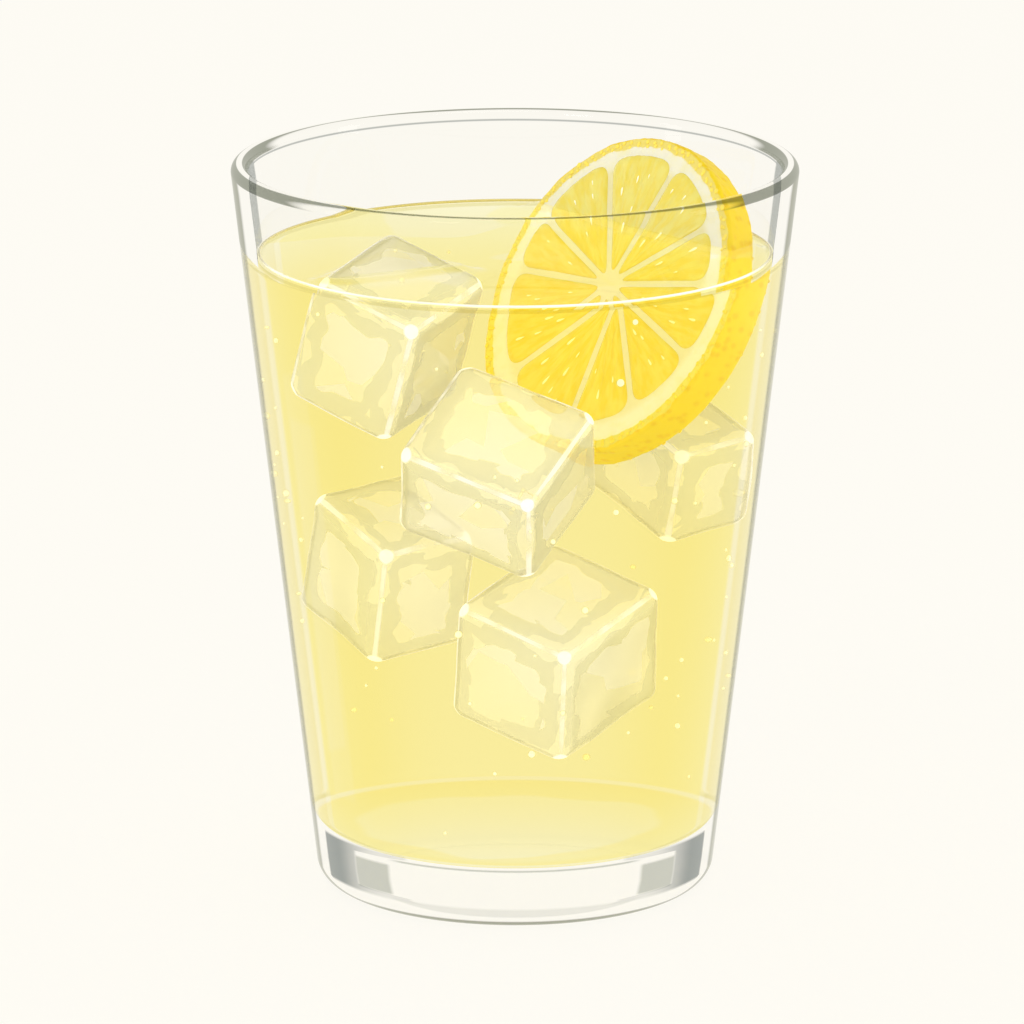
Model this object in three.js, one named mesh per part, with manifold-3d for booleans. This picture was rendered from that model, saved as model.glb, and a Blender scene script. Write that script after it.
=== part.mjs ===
import * as THREE from "three";
import { mergeVertices } from "three/addons/utils/BufferGeometryUtils.js";
import { RoundedBoxGeometry } from "three/addons/geometries/RoundedBoxGeometry.js";
import Module from "manifold-3d";

// A tapered tumbler of lemonade with a wheel of lemon leaning on its wall and an ice cube at the
// surface. Millimetres, +Z up, origin at the middle of the foot's underside.

// Tumbler
const glassHeight = 117.2;
const rimRadius = 45;
const baseRadius = 31.4; // the straight outer wall carried down to the table
const wallThickness = 2.8;
const floorHeight = 9.5;
const footCornerRadius = 4.2;
const floorCornerRadius = 2.2;
const footRingInner = 23.5;
const footRecess = 1; // hollow under the base, so that it stands on a ring
const recessSlope = 2.5; // how far the recess runs inwards before it is full depth
const aroundGlass = 72; // a multiple of four keeps the width exact

// Drink
const drinkLevel = 102.2;
const clearance = 0.3; // between pieces that touch

// Lemon wheel, cut from the middle of a lemon
const wheelRadius = 26.4;
const wheelThickness = 5.8;
const wheelCentre = [16.6, 14.9, 91.9]; // middle of the slice
const wheelAxis = [-0.685, -0.565, 0.46]; // its shown face looks this way
const peelRound = 1;
const fleshRadius = 22.1;
const fleshRise = 0.35; // the juicy segments stand proud of the pith
const hubOffset = [-0.3, 1.1]; // where the membranes meet, from the middle of the face
const membraneHalf = 0.42;
const segmentCorner = 3;
const segmentTip = 2.2;
const membraneAngles = [-176.9, -133.4, -86.9, -52.8, -20.7, 10.3, 37.3, 75.9, 116.9, 158];

// Ice cube that breaks the surface
const iceSize = [22, 19.2, 22.4];
const iceCentre = [-19.6, -13.9, 92.1];
const iceRightEdge = [0.523, 0.829, 0.198]; // runs from the front edge to the right
const iceUpEdge = [0.203, -0.346, 0.916];
const iceRound = 2.6;
const iceRoundSteps = 3;

const slope = (rimRadius - baseRadius) / glassHeight;
const outerRadiusAt = (z) => baseRadius + slope * z;
const innerRadiusAt = (z) => outerRadiusAt(z) - wallThickness;
const radians = (degrees) => THREE.MathUtils.degToRad(degrees);

// Points of an arc in a profile, ends included, as [radius, height]
function arc(centreRadius, centreHeight, radius, fromDegrees, toDegrees, steps) {
  const points = [];
  for (let i = 0; i <= steps; i += 1) {
    const angle = radians(fromDegrees + ((toDegrees - fromDegrees) * i) / steps);
    points.push([centreRadius + radius * Math.cos(angle), centreHeight + radius * Math.sin(angle)]);
  }
  return points;
}

// A profile turned once round the Z axis
function turned(profile, around) {
  const points = profile.map(([radius, height]) => new THREE.Vector2(radius, height));
  return new THREE.LatheGeometry(points, around).rotateX(Math.PI / 2);
}

function glassGeometry() {
  const lean = THREE.MathUtils.radToDeg(Math.atan(slope));
  const rimRound = wallThickness / 2;
  const rimCentreHeight = glassHeight - rimRound;
  const footCentre = outerRadiusAt(footCornerRadius) - footCornerRadius;
  const floorCentreHeight = floorHeight + floorCornerRadius;
  const floorCentre = innerRadiusAt(floorCentreHeight) - floorCornerRadius;
  return turned(
    [
      [0, footRecess],
      [footRingInner - recessSlope, footRecess],
      [footRingInner, 0],
      ...arc(footCentre, footCornerRadius, footCornerRadius, -90, -lean, 7),
      ...arc(innerRadiusAt(rimCentreHeight) + rimRound, rimCentreHeight, rimRound, -lean, 180 - lean, 10),
      ...arc(floorCentre, floorCentreHeight, floorCornerRadius, -lean, -90, 6),
      [0, floorHeight],
    ],
    aroundGlass,
  );
}

// The drink alone, a little clear of the glass all round, before anything is cut out of it
function drinkGeometry() {
  const lean = THREE.MathUtils.radToDeg(Math.atan(slope));
  const bottom = floorHeight + clearance;
  const cornerHeight = bottom + floorCornerRadius;
  const corner = innerRadiusAt(cornerHeight) - clearance - floorCornerRadius;
  return turned(
    [
      [0, bottom],
      ...arc(corner, cornerHeight, floorCornerRadius, -90, -lean, 6),
      [innerRadiusAt(drinkLevel) - clearance, drinkLevel],
      [0, drinkLevel],
    ],
    aroundGlass,
  );
}

// A slice's round body, lying flat on the XY plane and centred on it
function wheelBody(radius, thickness, around) {
  const half = thickness / 2;
  const rim = radius - peelRound;
  return turned(
    [
      [0, -half],
      ...arc(rim, -half + peelRound, peelRound, -90, 0, 3),
      ...arc(rim, half - peelRound, peelRound, 0, 90, 3),
      [0, half],
    ],
    around,
  );
}

// One segment of flesh between two membranes, with round corners, as a prism through the slice
function segmentPrism(fromDegrees, toDegrees) {
  const from = radians(fromDegrees);
  const to = radians(toDegrees);
  const middle = (from + to) / 2;
  const halfAngle = (to - from) / 2;
  const tipDistance = membraneHalf / Math.sin(halfAngle);
  const tip = new THREE.Vector2(Math.cos(middle), Math.sin(middle)).multiplyScalar(tipDistance);
  // Along each side from the tip to the outer arc, measured from the tip
  const alongSide = (side, distance) =>
    new THREE.Vector2(Math.cos(side), Math.sin(side)).multiplyScalar(distance).add(tip);
  const reach = Math.sqrt(fleshRadius ** 2 - membraneHalf ** 2) - membraneHalf / Math.tan(halfAngle);
  const arcStart = from + (membraneHalf + segmentCorner) / fleshRadius;
  const arcEnd = to - (membraneHalf + segmentCorner) / fleshRadius;
  const onArc = (angle) =>
    new THREE.Vector2(Math.cos(angle), Math.sin(angle)).multiplyScalar(fleshRadius);
  const outline = new THREE.Shape();
  outline.moveTo(...alongSide(from, segmentTip));
  outline.lineTo(...alongSide(from, reach - segmentCorner));
  outline.quadraticCurveTo(...alongSide(from, reach), ...onArc(arcStart));
  outline.absarc(0, 0, fleshRadius, arcStart, arcEnd, false);
  outline.quadraticCurveTo(...alongSide(to, reach), ...alongSide(to, reach - segmentCorner));
  outline.lineTo(...alongSide(to, segmentTip));
  outline.quadraticCurveTo(...tip, ...alongSide(from, segmentTip));
  const depth = wheelThickness + 2 * fleshRise;
  const prism = new THREE.ExtrudeGeometry(outline, { depth, bevelEnabled: false, curveSegments: 5 });
  return prism.translate(hubOffset[0], hubOffset[1], -depth / 2);
}

// Turns a piece made on the XY plane so that its +Z looks along an axis and its X stays level
function wheelPlacement() {
  const facing = new THREE.Vector3(...wheelAxis).normalize();
  const level = new THREE.Vector3(-facing.y, facing.x, 0).normalize();
  const upwards = new THREE.Vector3().crossVectors(facing, level);
  return new THREE.Matrix4().makeBasis(level, upwards, facing).setPosition(...wheelCentre);
}

function icePlacement() {
  const up = new THREE.Vector3(...iceUpEdge).normalize();
  const right = new THREE.Vector3(...iceRightEdge).normalize();
  const back = new THREE.Vector3().crossVectors(up, right).normalize();
  right.crossVectors(back, up);
  return new THREE.Matrix4().makeBasis(right, back, up).setPosition(...iceCentre);
}

function iceGeometry(grow) {
  const [width, depth, height] = iceSize.map((length) => length + 2 * grow);
  return new RoundedBoxGeometry(width, depth, height, iceRoundSteps, iceRound + grow);
}

const wasm = await Module();
wasm.setup();

function solidOf(geometry) {
  const bare = geometry.index ? geometry.toNonIndexed() : geometry.clone();
  for (const name of Object.keys(bare.attributes)) {
    if (name !== "position") bare.deleteAttribute(name);
  }
  const merged = mergeVertices(bare, 1e-4);
  return new wasm.Manifold(
    new wasm.Mesh({
      numProp: 3,
      vertProperties: new Float32Array(merged.attributes.position.array),
      triVerts: new Uint32Array(merged.index.array),
    }),
  );
}

function geometryOf(solid) {
  const mesh = solid.getMesh();
  const geometry = new THREE.BufferGeometry();
  geometry.setAttribute("position", new THREE.BufferAttribute(mesh.vertProperties, 3));
  geometry.setIndex(new THREE.BufferAttribute(mesh.triVerts, 1));
  geometry.computeVertexNormals();
  return geometry;
}

function lemonGeometry() {
  let slice = solidOf(wheelBody(wheelRadius, wheelThickness, 64));
  membraneAngles.forEach((angle, i) => {
    const next = i + 1 < membraneAngles.length ? membraneAngles[i + 1] : membraneAngles[0] + 360;
    slice = slice.add(solidOf(segmentPrism(angle, next)));
  });
  return geometryOf(slice);
}

// The drink with room for the slice and the ice cube that stand in it
function lemonadeGeometry() {
  const room = 2 * (fleshRise + clearance);
  const sliceRoom = wheelBody(wheelRadius + clearance, wheelThickness + room, 64);
  const iceRoom = iceGeometry(clearance);
  return geometryOf(
    solidOf(drinkGeometry())
      .subtract(solidOf(sliceRoom.applyMatrix4(wheelPlacement())))
      .subtract(solidOf(iceRoom.applyMatrix4(icePlacement()))),
  );
}

function piece(name, geometry, placement, finish) {
  const mesh = new THREE.Mesh(geometry, new THREE.MeshStandardMaterial(finish));
  mesh.name = name;
  placement.decompose(mesh.position, mesh.quaternion, mesh.scale);
  return mesh;
}

const upright = new THREE.Matrix4();
const clearGlass = { color: 0xeef0ea, roughness: 0.03, metalness: 0, transparent: true, opacity: 0.35 };
const paleYellow = { color: 0xfdec96, roughness: 0.05, metalness: 0, transparent: true, opacity: 0.8 };
const lemonYellow = { color: 0xffdc46, roughness: 0.4, metalness: 0 };
const clearIce = { color: 0xf6f4e4, roughness: 0.1, metalness: 0, transparent: true, opacity: 0.6 };

const glassOfLemonade = new THREE.Group();
glassOfLemonade.add(piece("glass", glassGeometry(), upright, clearGlass));
glassOfLemonade.add(piece("lemonade", lemonadeGeometry(), upright, paleYellow));
glassOfLemonade.add(piece("lemon_slice", lemonGeometry(), wheelPlacement(), lemonYellow));
glassOfLemonade.add(piece("ice_cube_1", iceGeometry(0), icePlacement(), clearIce));

export default glassOfLemonade;
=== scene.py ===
import math
from functools import partial

import bmesh
import bpy
import numpy as np
from mathutils import Matrix, Vector, noise


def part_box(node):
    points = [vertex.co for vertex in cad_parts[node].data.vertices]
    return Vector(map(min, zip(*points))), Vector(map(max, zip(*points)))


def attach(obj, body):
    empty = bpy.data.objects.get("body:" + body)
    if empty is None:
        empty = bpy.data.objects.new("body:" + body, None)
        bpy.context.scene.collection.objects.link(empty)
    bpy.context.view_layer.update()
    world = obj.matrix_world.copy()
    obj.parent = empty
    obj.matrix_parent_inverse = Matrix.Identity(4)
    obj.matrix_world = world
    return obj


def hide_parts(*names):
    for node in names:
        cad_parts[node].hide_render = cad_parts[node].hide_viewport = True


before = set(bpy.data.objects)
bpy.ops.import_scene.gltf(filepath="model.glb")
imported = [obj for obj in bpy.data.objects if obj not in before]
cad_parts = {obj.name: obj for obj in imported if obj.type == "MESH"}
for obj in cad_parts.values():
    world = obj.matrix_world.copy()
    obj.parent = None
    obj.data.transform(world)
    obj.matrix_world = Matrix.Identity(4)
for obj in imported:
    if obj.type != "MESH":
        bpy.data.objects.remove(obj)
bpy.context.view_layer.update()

# Glass of lemonade: a tapered tumbler, the drink, a lemon wheel, ice cubes and bubbles. Metres, +Z up.

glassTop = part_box("glass")[1].z
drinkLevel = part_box("lemonade")[1].z
black = (0.0, 0.0, 0.0, 1.0)
white = (1.0, 1.0, 1.0, 1.0)
print("frame loaded, glass", round(glassTop, 4), "drink", round(drinkLevel, 4))


# Objects and the camera

photoCamera = dict(
    place=(-0.00048, -1.2751, 0.3765),     # the glass stands a little right of the picture's middle
    aim=(-0.00048, 0.0, 0.06014),
    lens=290.0,
)


def addObject(name, data):
    added = bpy.data.objects.new(name, data)
    bpy.context.scene.collection.objects.link(added)
    return added


def lookAt(turned, place, aim):
    turned.location = place
    turned.rotation_euler = (Vector(aim) - Vector(place)).to_track_quat("-Z", "Y").to_euler()


def makeCamera(view):
    data = bpy.data.cameras.new("photoCamera")
    data.lens, data.sensor_width = view["lens"], 36.0
    data.clip_start, data.clip_end = 0.05, 20.0
    camera = addObject("photoCamera", data)
    lookAt(camera, view["place"], view["aim"])
    bpy.context.scene.camera = camera


makeCamera(photoCamera)


# Mesh helpers

def makePiece(name, vertices, faces, material):
    mesh = bpy.data.meshes.new(name)
    mesh.from_pydata([tuple(map(float, v)) for v in vertices], [], [tuple(map(int, f)) for f in faces])
    work = bmesh.new()
    work.from_mesh(mesh)
    bmesh.ops.remove_doubles(work, verts=work.verts, dist=1e-7)
    bmesh.ops.recalc_face_normals(work, faces=work.faces)
    work.to_mesh(mesh)
    work.free()
    mesh.shade_smooth()
    mesh.materials.append(material)
    return addObject(name, mesh)


def finishPiece(piece, nodes):
    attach(piece, "root")
    if nodes:
        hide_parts(*nodes)
    print("made", piece.name, len(piece.data.vertices), "vertices")


def arcPoints(centreRadius, centreHeight, radius, fromDegrees, toDegrees, steps):
    angles = np.radians(np.linspace(fromDegrees, toDegrees, steps + 1))
    return [(centreRadius + radius * math.cos(a), centreHeight + radius * math.sin(a)) for a in angles]


def linePoints(start, end, steps):
    return [tuple(np.array(start) + (np.array(end) - start) * i / steps) for i in range(1, steps)]


def ringPoints(radius, height, around):
    angles = np.linspace(0, 2 * math.pi, around, endpoint=False)
    return np.stack((np.cos(angles) * radius, np.sin(angles) * radius, np.full(around, height)), 1)


# Quads between rings of points. A closed row of rings joins its last to its first.
def ringFaces(rings, around, closed=False):
    faces = []
    for ring in range(rings if closed else rings - 1):
        a, b = ring * around, (ring + 1) % rings * around
        for j in range(around):
            k = (j + 1) % around
            faces.append((a + j, a + k, b + k, b + j))
    return faces


# A profile turned round the axis, closed at both ends by a point on it
def turnProfile(profile, around):
    ends = [[[0, 0, profile[0][1]]], [[0, 0, profile[-1][1]]]]
    points = np.concatenate([ringPoints(r, z, around) for r, z in profile[1:-1]] + ends)
    faces = ringFaces(len(profile) - 2, around)
    first, last, top = len(points) - 2, len(points) - 1, len(points) - 2 - around
    for j in range(around):
        k = (j + 1) % around
        faces += [(first, k, j), (last, top + j, top + k)]
    return points, faces


# Node helpers

# A socket takes another socket, a node's first output, or a plain value
def feed(tree, socket, source):
    if isinstance(source, bpy.types.Node):
        source = source.outputs[0]
    if isinstance(source, bpy.types.NodeSocket):
        tree.links.new(source, socket)
    elif source is not None:
        socket.default_value = source


def linkInto(tree, node, **sources):
    for label, source in sources.items():
        feed(tree, node.inputs[label.replace("_", " ")], source)


# Unnamed values feed the sockets in order. Names with a capital are sockets, the others the node's settings.
def addNode(tree, kind, *sources, **values):
    node = tree.nodes.new(kind)
    for key in [key for key in values if key[0].islower()]:
        setattr(node, key, values.pop(key))
    for socket, source in zip(node.inputs, sources):
        feed(tree, socket, source)
    linkInto(tree, node, **values)
    return node


def newGroup(name, kind, inputs, outputs):
    tree = bpy.data.node_groups.new(name, kind)
    for way, sockets in (("INPUT", inputs), ("OUTPUT", outputs)):
        for label, socketKind in sockets.items():
            tree.interface.new_socket(label, in_out=way, socket_type="NodeSocket" + socketKind)
    return tree, tree.nodes.new("NodeGroupInput").outputs, tree.nodes.new("NodeGroupOutput")


def maths(tree, operation, *values):
    return addNode(tree, "ShaderNodeMath", *values, operation=operation).outputs[0]


def times(tree, first, *others):
    for other in others:
        first = maths(tree, "MULTIPLY", first, other)
    return first


def splitVector(tree, vector):
    return addNode(tree, "ShaderNodeSeparateXYZ", vector).outputs


# Geometry Nodes helpers

def newTree(name, **sockets):
    return newGroup(name, "GeometryNodeTree", dict(Geometry="Geometry", **sockets), dict(Geometry="Geometry"))


# The tree's last steps: real geometry, smooth, with its finish
def endTree(tree, given, result, instances):
    real = addNode(tree, "GeometryNodeRealizeInstances", instances)
    smooth = addNode(tree, "GeometryNodeSetShadeSmooth", real)
    finished = addNode(tree, "GeometryNodeSetMaterial", smooth, Material=given["Finish"])
    linkInto(tree, result, Geometry=finished)
    return tree


def runTree(carrier, tree, **values):
    modifier = carrier.modifiers.new(tree.name, "NODES")
    modifier.node_group = tree
    for item in tree.interface.items_tree:
        if item.in_out == "INPUT" and item.name in values:
            modifier[item.identifier] = values[item.name]
    result = bpy.data.meshes.new_from_object(carrier.evaluated_get(bpy.context.evaluated_depsgraph_get()))
    carrier.modifiers.clear()
    result.materials.clear()
    result.materials.append(values["Finish"])
    result.polygons.foreach_set("material_index", [0] * len(result.polygons))
    carrier.data = result


def joinPieces(name, pieces, material):
    work = bmesh.new()
    for piece in pieces:
        work.from_mesh(piece.data)
        bpy.data.objects.remove(piece)
    mesh = bpy.data.meshes.new(name)
    work.to_mesh(mesh)
    work.free()
    mesh.materials.append(material)
    mesh.shade_smooth()
    return addObject(name, mesh)


# Shader helpers

def newMaterial(name):
    material = bpy.data.materials.new(name)
    material.use_nodes = True
    return material, material.node_tree, material.node_tree.nodes["Principled BSDF"]


def mixColours(tree, factor, first, second):
    mix = addNode(tree, "ShaderNodeMix", factor, data_type="RGBA")
    feed(tree, mix.inputs[6], first)
    feed(tree, mix.inputs[7], second)
    return mix.outputs[2]


def smoothBetween(tree, value, low, high):
    return addNode(tree, "ShaderNodeMapRange", value, low, high, interpolation_type="SMOOTHSTEP").outputs[0]


# All between two values, and none beyond their soft ends
def band(tree, value, low, high, soft):
    rising = smoothBetween(tree, value, low - soft, low + soft)
    return times(tree, rising, smoothBetween(tree, value, high + soft, high - soft))


# A named range: from none to all, or a band with soft ends, both measured from the base
def rangeShare(tree, ranges, value, label, base=0.0):
    low, high, *soft = ranges[label]
    return (band if soft else smoothBetween)(tree, value, base + low, base + high, *soft)


def layOver(tree, colours, colour, amount, label):
    return mixColours(tree, amount, colour, colours[label])


def sunkShare(tree, height):
    return smoothBetween(tree, height, drinkLevel + 0.0002, drinkLevel - 0.0002)


def objectPlace(tree):
    return addNode(tree, "ShaderNodeTexCoord").outputs["Object"]


# 0 where a surface is turned to the eye, 1 where it is seen edge on
def edgeOnShare(tree):
    return addNode(tree, "ShaderNodeLayerWeight").outputs["Facing"]


def backOf(tree):
    return addNode(tree, "ShaderNodeNewGeometry").outputs["Backfacing"]


def radialDistance(tree, x, y):
    flat = addNode(tree, "ShaderNodeCombineXYZ", x, y)
    return addNode(tree, "ShaderNodeVectorMath", flat, operation="LENGTH").outputs["Value"]


# Shadow rays pass a clear piece with only its tint. So does light that leaves a solid one, as in a drawing.
def lightThrough(tree, shader, tint, solid=True):
    straight = addNode(tree, "ShaderNodeLightPath").outputs["Is Shadow Ray"]
    if solid:
        straight = maths(tree, "MAXIMUM", straight, backOf(tree))
    passing = addNode(tree, "ShaderNodeBsdfTransparent", Color=tint)
    mix = addNode(tree, "ShaderNodeMixShader", straight, shader, passing)
    linkInto(tree, tree.nodes["Material Output"], Surface=mix)


def placeGroup(tree, group, **sources):
    return addNode(tree, "ShaderNodeGroup", node_tree=group, **sources).outputs


# Soft-edged patches of a second colour, from noise
def makeMottle():
    tree, given, result = newGroup(
        "mottle", "ShaderNodeTree",
        dict(Place="Vector", Scale="Float", Detail="Float", Low="Float", High="Float", First="Color",
             Second="Color"),
        dict(Colour="Color", Noise="Float"))
    grain = addNode(tree, "ShaderNodeTexNoise", Vector=given["Place"], Scale=given["Scale"],
                    Detail=given["Detail"])
    spread = smoothBetween(tree, grain, given["Low"], given["High"])
    linkInto(tree, result, Colour=mixColours(tree, spread, given["First"], given["Second"]), Noise=grain)
    return tree


def screenColour(red, green, blue):
    shares = [v / 255 for v in (red, green, blue)]
    return tuple(v / 12.92 if v <= 0.04045 else ((v + 0.055) / 1.055) ** 2.4 for v in shares) + (1.0,)


mottle = makeMottle()


# Glass

glassFinish = dict(
    dryIor=1.006,          # the thin wall shows what is behind it almost unbent
    wetIor=1.08,
    innerIor=1.001,        # the drink lies against it
    coat=0.5,
    coatIor=1.4,
    shadowTint=(0.98, 0.98, 0.97, 1.0),
    tints=dict(
        Body=(0.999, 0.994, 0.988, 1.0),
        Outline=screenColour(98, 102, 84),      # painted shade, grey olive where the wall is seen edge on
        Wall=screenColour(138, 144, 144),
        Rim=screenColour(96, 101, 88),
        Foot=screenColour(92, 100, 101),
        FootPale=screenColour(164, 168, 160),
    ),
    patchMiddle=0.0072,    # height of the foot's patches of painted shade
    patchHalf=0.0038,
    patchThin=0.22,
    patchPale=0.35,
    lensShare=0.45,
    rimTurn=0.20,          # the rim's painted shade is paler on its far side
    ranges=dict(           # places in metres, facing from 0 to 1 at the edge
        outerSide=(-0.0016, -0.0012),
        footHeight=(0.0034, 0.0110, 0.0003),
        paleHeight=(0.0042, 0.0092, 0.0003),
        paleFacing=(0.29, 0.45, 0.01),
        patchLip=(0.72, 0.86),
        patchShade=(0.30, 0.58),
        patchStart=(0.438, 0.462),
        patchEnd=(0.70, 0.68),
        lensHeight=(0.0021, 0.0036, 0.0003),
        lensFacing=(0.33, 0.28),
        floorLine=(0.0099, 0.0102, 0.0001),
        floorFacing=(0.30, 0.24),
        underHeight=(0.0015, 0.0011),
        underRadius=(0.0284, 0.0288),
        edgeOn=(0.78, 0.83),
        innerEdgeOn=(0.765, 0.79),
        aboveDrink=(0.0, 0.0002),           # from wetHeight
        farSide=(0.0, 0.002),
        brightStrip=(-0.0318, -0.0234, 0.0002),
        rimStart=(-0.0002, 0.0),            # from the lower end of the rim's round
        rimGap=(-0.40, 0.25, 0.05),         # from the middle of the rim, in rim radii
        gapFacing=(0.58, 0.68),
        rimAside=(0.010, 0.030),
        rimBehind=(-0.010, 0.008),
        rimDark=(0.30, 0.40),
        underRim=(-0.0019, -0.0016, 0.0001),    # from the glass's top
    ),
)
glassSizes = dict(
    rimRadius=0.045,       # the straight outer wall carried up to the rim's top
    baseRadius=0.0314,
    wall=0.0028,
    floorHeight=0.0095,
    footCorner=0.0042,
    floorCorner=0.0022,
    footRing=0.0235,
    recess=0.001,
    recessRun=0.0025,
    rimInset=0.00002,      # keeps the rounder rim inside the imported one
    wetClimb=0.0024,       # seen from the side, the drink shows through the wall this much higher
    dipFrom=0.86,
    around=192,
)
taper = (glassSizes["rimRadius"] - glassSizes["baseRadius"]) / glassTop
wallLean = math.degrees(math.atan(taper))
wetHeight = drinkLevel + 0.0003         # the drink climbs the wall a little


def innerRadius(height):
    return glassSizes["baseRadius"] + taper * height - glassSizes["wall"]


def makeGlass(sizes, dry, wet, inner):
    wall, recess, floorHeight = sizes["wall"], sizes["recess"], sizes["floorHeight"]
    rimRound, foot = wall / 2, sizes["footCorner"]
    rimHeight = glassTop - rimRound
    floor = floorHeight + sizes["floorCorner"]
    floorCentre = innerRadius(floor) - sizes["floorCorner"]
    footArc = arcPoints(sizes["baseRadius"] + taper * foot - foot, foot, foot, -90, -wallLean, 16)
    rimArc = arcPoints(innerRadius(rimHeight) + rimRound, rimHeight, rimRound - sizes["rimInset"],
                       -wallLean, 180 - wallLean, 24)
    floorArc = arcPoints(floorCentre, floor, sizes["floorCorner"], -wallLean, -90, 14)
    recessEnd = sizes["footRing"] - sizes["recessRun"]
    profile = [(0, recess)] + [(recessEnd * i / 6, recess) for i in range(1, 6)]
    for share in np.linspace(0, 1, 9):
        height = recess * (0.5 + 0.5 * math.cos(math.pi * share))
        profile.append((recessEnd + sizes["recessRun"] * share, height))
    wetTop = (innerRadius(wetHeight), wetHeight)
    outTop = wetHeight + sizes["wetClimb"]
    wetOut = (innerRadius(outTop) + wall, outTop)
    profile += footArc + linePoints(footArc[-1], wetOut, 36) + [wetOut] + linePoints(wetOut, rimArc[0], 6)
    profile += rimArc + linePoints(rimArc[-1], wetTop, 6) + [wetTop]
    profile += linePoints(wetTop, floorArc[0], 36) + floorArc
    profile += [(floorArc[-1][0] * (1 - i / 10), floorHeight) for i in range(1, 10)] + [(0, floorHeight)]
    tumbler = makePiece("glassTumbler", *turnProfile(profile, sizes["around"]), dry)
    tumbler.data.materials.append(wet)
    tumbler.data.materials.append(inner)
    for face in tumbler.data.polygons:
        x, y, z = face.center
        inside = math.hypot(x, y) < innerRadius(z) + wall / 2 and z > floorHeight - 0.0002
        if z < (wetHeight if inside else outTop):
            face.material_index = 2 if inside else 1
    # The wet part's edge dips to the waterline wherever the wall is not seen from the side
    for vertex in tumbler.data.vertices:
        place = vertex.co
        if abs(place.z - outTop) < 1e-6 and math.hypot(place.x, place.y) > wetOut[0] - 1e-5:
            aside = min(max((abs(place.x) / wetOut[0] - sizes["dipFrom"]) / (1 - sizes["dipFrom"]), 0), 1)
            shrink = 1 - taper * sizes["wetClimb"] * (1 - aside) / wetOut[0]
            vertex.co = (place.x * shrink, place.y * shrink, wetHeight + sizes["wetClimb"] * aside)
    return tumbler


# Colour that the glass lays over what is seen through it: its own faint tint, and painted shade and
# highlights for thin outlines, a rim of two rings and a shaded foot
def makeGlassTintAndPaintedLight(sizes, finish):
    tree, given, result = newGroup(
        "glassTints", "ShaderNodeTree",
        dict(Place="Vector", Facing="Float", Back="Float", **{label: "Color" for label in finish["tints"]}),
        dict(Colour="Color"))
    x, y, height = splitVector(tree, given["Place"])
    facing, radius = given["Facing"], radialDistance(tree, x, y)
    outerRadius = maths(tree, "MULTIPLY_ADD", height, taper, sizes["baseRadius"])
    fromOuter = maths(tree, "SUBTRACT", radius, outerRadius)
    share = partial(rangeShare, tree, finish["ranges"])
    overlay = partial(layOver, tree, given)

    def rest(value):
        return maths(tree, "SUBTRACT", 1.0, value)

    onOuter = share(fromOuter, "outerSide")
    onInner = rest(onOuter)
    # The foot, on the side that light enters, with painted shade and painted highlights
    near = times(tree, onOuter, rest(given["Back"]))
    side = times(tree, near, share(height, "footHeight"))
    pale = times(tree, side, share(facing, "paleFacing"), share(height, "paleHeight"))
    colour = overlay(given["Body"], pale, "FootPale")
    # Its patches of painted shade thin out towards the middle along their top and bottom
    half, least = finish["patchHalf"], finish["patchPale"]
    fromMiddle = maths(tree, "MULTIPLY_ADD", height, 1 / half, -finish["patchMiddle"] / half)
    lip = maths(tree, "ABSOLUTE", fromMiddle)
    reach = maths(tree, "MULTIPLY_ADD", share(lip, "patchLip"), finish["patchThin"], facing)
    shade = maths(tree, "MULTIPLY_ADD", share(facing, "patchShade"), 1 - least, least)
    patch = times(tree, shade, side, share(reach, "patchStart"), share(facing, "patchEnd"))
    colour = overlay(colour, patch, "Foot")
    # Painted highlights: a pale lens low in the middle and a pale line under the drink; painted shade on the
    # dark edge underneath
    lens = times(tree, near, share(height, "lensHeight"), share(facing, "lensFacing"), finish["lensShare"])
    colour = overlay(colour, lens, "FootPale")
    floorLine = times(tree, near, share(height, "floorLine"), share(facing, "floorFacing"))
    colour = overlay(colour, floorLine, "FootPale")
    underneath = times(tree, share(height, "underHeight"), share(radius, "underRadius"))
    colour = overlay(colour, underneath, "Outline")
    # Painted shade where the wall is seen edge on, and a darker strip of painted shade inside above the drink
    colour = overlay(colour, times(tree, onOuter, share(facing, "edgeOn")), "Outline")
    dryInner = times(tree, share(height, "aboveDrink", wetHeight), onInner)
    colour = overlay(colour, times(tree, dryInner, share(facing, "innerEdgeOn")), "Wall")
    # A painted reflection of a window: a pale strip on the far inner wall above the drink
    bright = times(tree, share(y, "farSide"), dryInner, share(x, "brightStrip"))
    colour = mixColours(tree, bright, colour, white)
    # The rim's painted shade: two dark rings with a paler gap between them
    rimRound = sizes["wall"] / 2
    across = maths(tree, "DIVIDE", maths(tree, "ADD", fromOuter, rimRound), rimRound)
    gap = times(tree, share(across, "rimGap"), share(facing, "gapFacing"))
    farSide = times(tree, share(maths(tree, "ABSOLUTE", x), "rimAside"), share(y, "rimBehind"))
    turnedAway = maths(tree, "SUBTRACT", facing, times(tree, farSide, finish["rimTurn"]))
    rim = overlay(given["Body"], times(tree, share(turnedAway, "rimDark"), rest(gap)), "Rim")
    colour = mixColours(tree, share(height, "rimStart", glassTop - rimRound), colour, rim)
    # Painted shade: a darker strip on the inner wall just under the rim
    colour = overlay(colour, times(tree, onInner, share(height, "underRim", glassTop)), "Wall")
    linkInto(tree, result, Colour=colour)
    return tree


def makeGlassMaterial(finish, name, ior, group):
    material, tree, shader = newMaterial(name)
    linkInto(tree, shader, Roughness=0.0, IOR=ior, Transmission_Weight=1.0, Coat_Roughness=0.0,
             Coat_Weight=finish["coat"] if group else 0.0, Coat_IOR=finish["coatIor"],
             Base_Color=finish["tints"]["Body"])
    if group:
        tints = placeGroup(tree, group, Place=objectPlace(tree), Facing=edgeOnShare(tree), Back=backOf(tree),
                           **finish["tints"])
        linkInto(tree, shader, Base_Color=tints["Colour"])
    lightThrough(tree, shader, finish["shadowTint"])
    return material


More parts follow.
